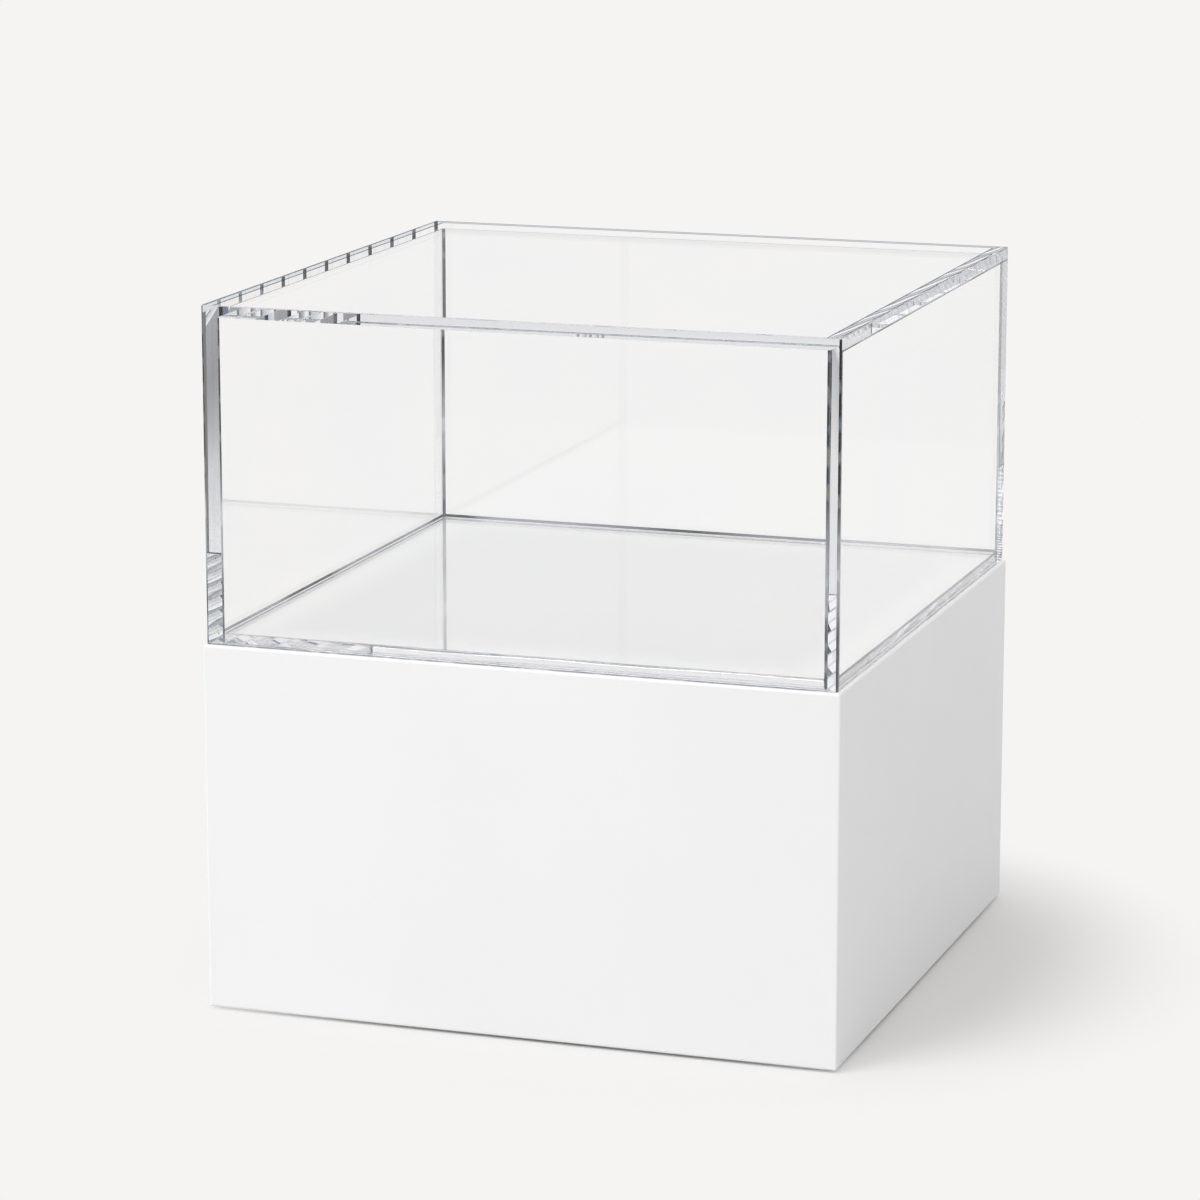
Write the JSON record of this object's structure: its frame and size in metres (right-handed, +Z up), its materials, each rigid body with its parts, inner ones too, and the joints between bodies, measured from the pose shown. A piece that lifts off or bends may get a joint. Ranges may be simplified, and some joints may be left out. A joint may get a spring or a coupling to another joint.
{
  "type": "pedestal display case",
  "caption": "Square white plinth on levelling feet with a clear lift-off box cover standing round a clear floor plate, for showing an object under a closed cover.",
  "frame": {"origin": "on the floor, under the middle of the plinth, with the feet wound fully in", "axes": "+Z up; the front, which is one of four like sides, faces -Y; +X is to its right"},
  "size_m": [0.5, 0.5, 0.546],
  "materials": {
    "clear_acrylic": "clear cast sheet with polished faces and edges",
    "white_lacquer": "fibreboard sprayed with smooth white satin lacquer",
    "plywood": "thin plywood, unfinished",
    "softwood": "planed softwood, unfinished",
    "zinc_steel": "bright zinc plated",
    "dark_nylon": "moulded nylon with a fine matt grain"
  },
  "bodies": {
    "plinth": {"floor_plate": "clear_acrylic", "plinth_top": "white_lacquer", "plinth_front": "white_lacquer", "plinth_right": "white_lacquer", "plinth_back": "white_lacquer", "plinth_left": "white_lacquer", "top_tongue_front": "plywood", "top_tongue_right": "plywood", "top_tongue_back": "plywood", "top_tongue_left": "plywood", "side_tongue_front_left": "plywood", "side_tongue_front_right": "plywood", "side_tongue_back_left": "plywood", "side_tongue_back_right": "plywood", "corner_post_front_left": "softwood", "corner_post_front_right": "softwood", "corner_post_back_left": "softwood", "corner_post_back_right": "softwood", "top_batten_front": "softwood", "top_batten_right": "softwood", "top_batten_back": "softwood", "top_batten_left": "softwood", "bottom_rail_front": "softwood", "bottom_rail_right": "softwood", "bottom_rail_back": "softwood", "bottom_rail_left": "softwood", "batten_screws": "zinc_steel", "rail_screws": "zinc_steel", "insert_nuts": "zinc_steel"},
    "cover": {"cover_top": "clear_acrylic", "cover_front": "clear_acrylic", "cover_right": "clear_acrylic", "cover_back": "clear_acrylic", "cover_left": "clear_acrylic"},
    "pad_front_left": {"foot_pad_front_left": "dark_nylon"},
    "pad_front_right": {"foot_pad_front_right": "dark_nylon"},
    "pad_back_left": {"foot_pad_back_left": "dark_nylon"},
    "pad_back_right": {"foot_pad_back_right": "dark_nylon"},
    "stud_front_left": {"foot_stud_front_left": "zinc_steel"},
    "stud_front_right": {"foot_stud_front_right": "zinc_steel"},
    "stud_back_left": {"foot_stud_back_left": "zinc_steel"},
    "stud_back_right": {"foot_stud_back_right": "zinc_steel"}
  },
  "joints": [
    {"name": "cover_lift", "type": "slide", "parent": "plinth", "child": "cover", "axis": [0, 0, 1], "range_m": [0, 0.3]},
    {"name": "foot_drop_front_left", "type": "slide", "parent": "plinth", "child": "pad_front_left", "axis": [0, 0, 1], "range_m": [-0.01, 0]},
    {"name": "foot_drop_front_right", "type": "slide", "parent": "plinth", "child": "pad_front_right", "axis": [0, 0, 1], "range_m": [-0.01, 0]},
    {"name": "foot_drop_back_left", "type": "slide", "parent": "plinth", "child": "pad_back_left", "axis": [0, 0, 1], "range_m": [-0.01, 0]},
    {"name": "foot_drop_back_right", "type": "slide", "parent": "plinth", "child": "pad_back_right", "axis": [0, 0, 1], "range_m": [-0.01, 0]},
    {"name": "foot_turn_front_left", "type": "hinge", "parent": "pad_front_left", "child": "stud_front_left", "pos_m": [-0.214, -0.214, 0], "axis": [0, 0, 1], "range_deg": [-2880, 0]},
    {"name": "foot_turn_front_right", "type": "hinge", "parent": "pad_front_right", "child": "stud_front_right", "pos_m": [0.214, -0.214, 0], "axis": [0, 0, 1], "range_deg": [-2880, 0]},
    {"name": "foot_turn_back_left", "type": "hinge", "parent": "pad_back_left", "child": "stud_back_left", "pos_m": [-0.214, 0.214, 0], "axis": [0, 0, 1], "range_deg": [-2880, 0]},
    {"name": "foot_turn_back_right", "type": "hinge", "parent": "pad_back_right", "child": "stud_back_right", "pos_m": [0.214, 0.214, 0], "axis": [0, 0, 1], "range_deg": [-2880, 0]}
  ],
  "couplings": [
    {"joint": "foot_drop_front_left", "follows": "foot_turn_front_left", "m_per_rad": 0.00019894},
    {"joint": "foot_drop_front_right", "follows": "foot_turn_front_right", "m_per_rad": 0.00019894},
    {"joint": "foot_drop_back_left", "follows": "foot_turn_back_left", "m_per_rad": 0.00019894},
    {"joint": "foot_drop_back_right", "follows": "foot_turn_back_right", "m_per_rad": 0.00019894}
  ]
}
